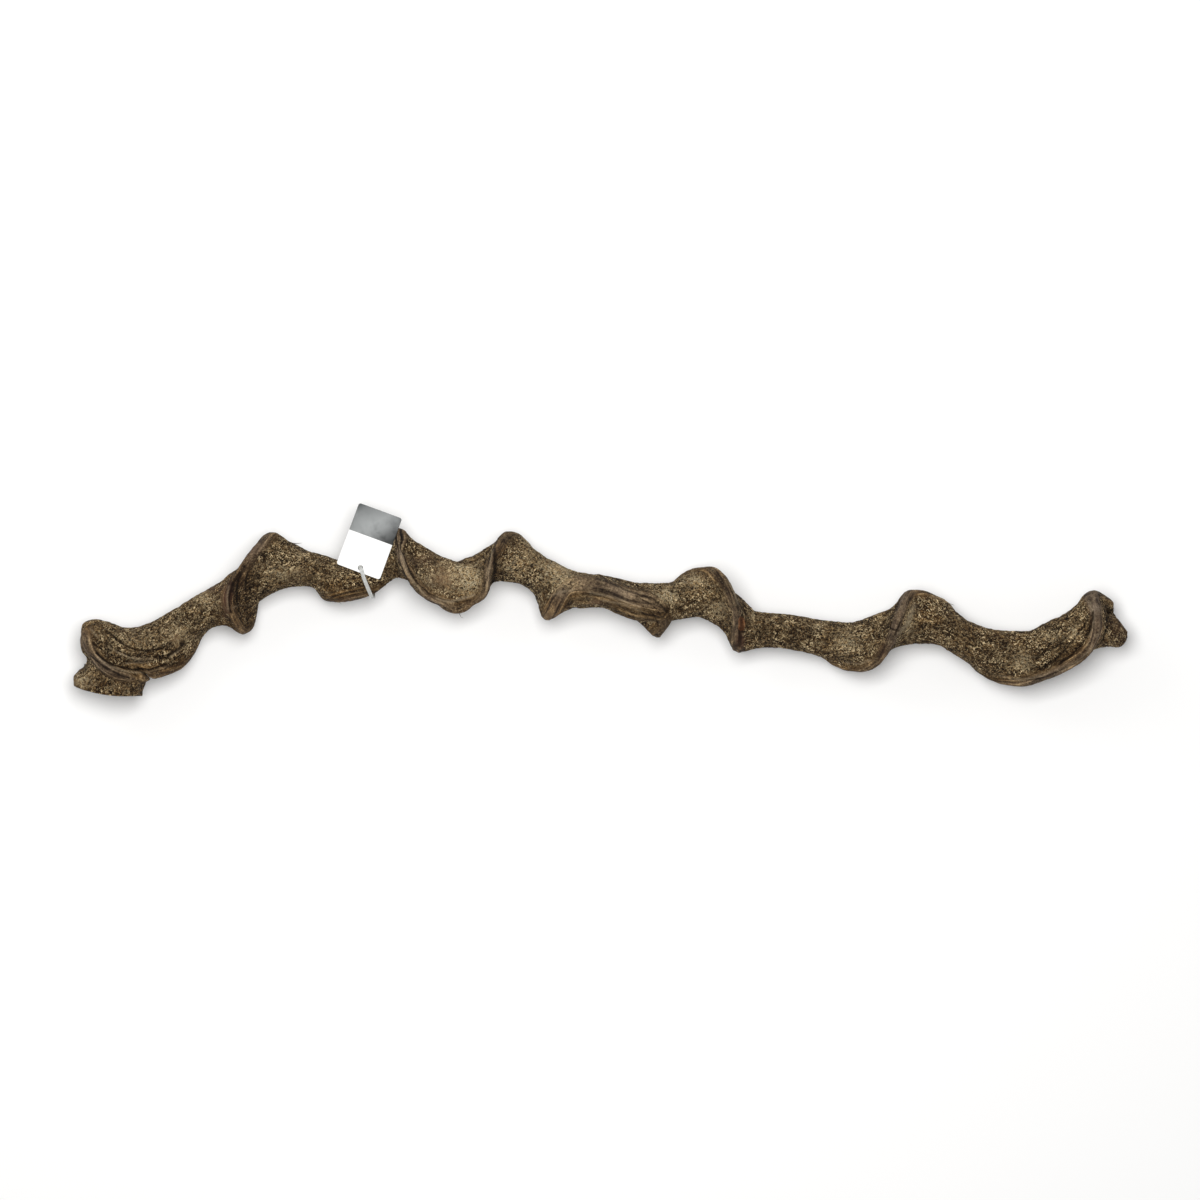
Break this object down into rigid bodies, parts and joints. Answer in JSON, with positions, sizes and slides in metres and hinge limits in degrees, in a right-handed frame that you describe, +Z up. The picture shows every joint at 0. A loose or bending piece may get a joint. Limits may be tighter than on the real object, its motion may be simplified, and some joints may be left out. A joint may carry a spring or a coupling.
{
  "type": "twisted vine",
  "caption": "Length of dried liana with a flange winding round its stem, lying down, with a plain swing tag held on by a clear strap.",
  "frame": {"origin": "centre of the bounding box's bottom face, on the surface that the vine lies on", "axes": "+X along the vine from its flared cut stub to its thin end, +Y towards the tag's far edge, +Z up from the surface"},
  "size_m": [1.054, 0.1926, 0.0829],
  "materials": {
    "bark": "dry rough corky bark, dark brown with tan flecks, smoother grey-brown on the flange's rim",
    "clear_strap": "translucent white moulded plastic",
    "tag_card": "white coated card with a silver-grey band, no lettering"
  },
  "bodies": {
    "root": {"vine": "bark", "tag_loop": "clear_strap", "hang_tag": "tag_card"}
  },
  "joints": []
}
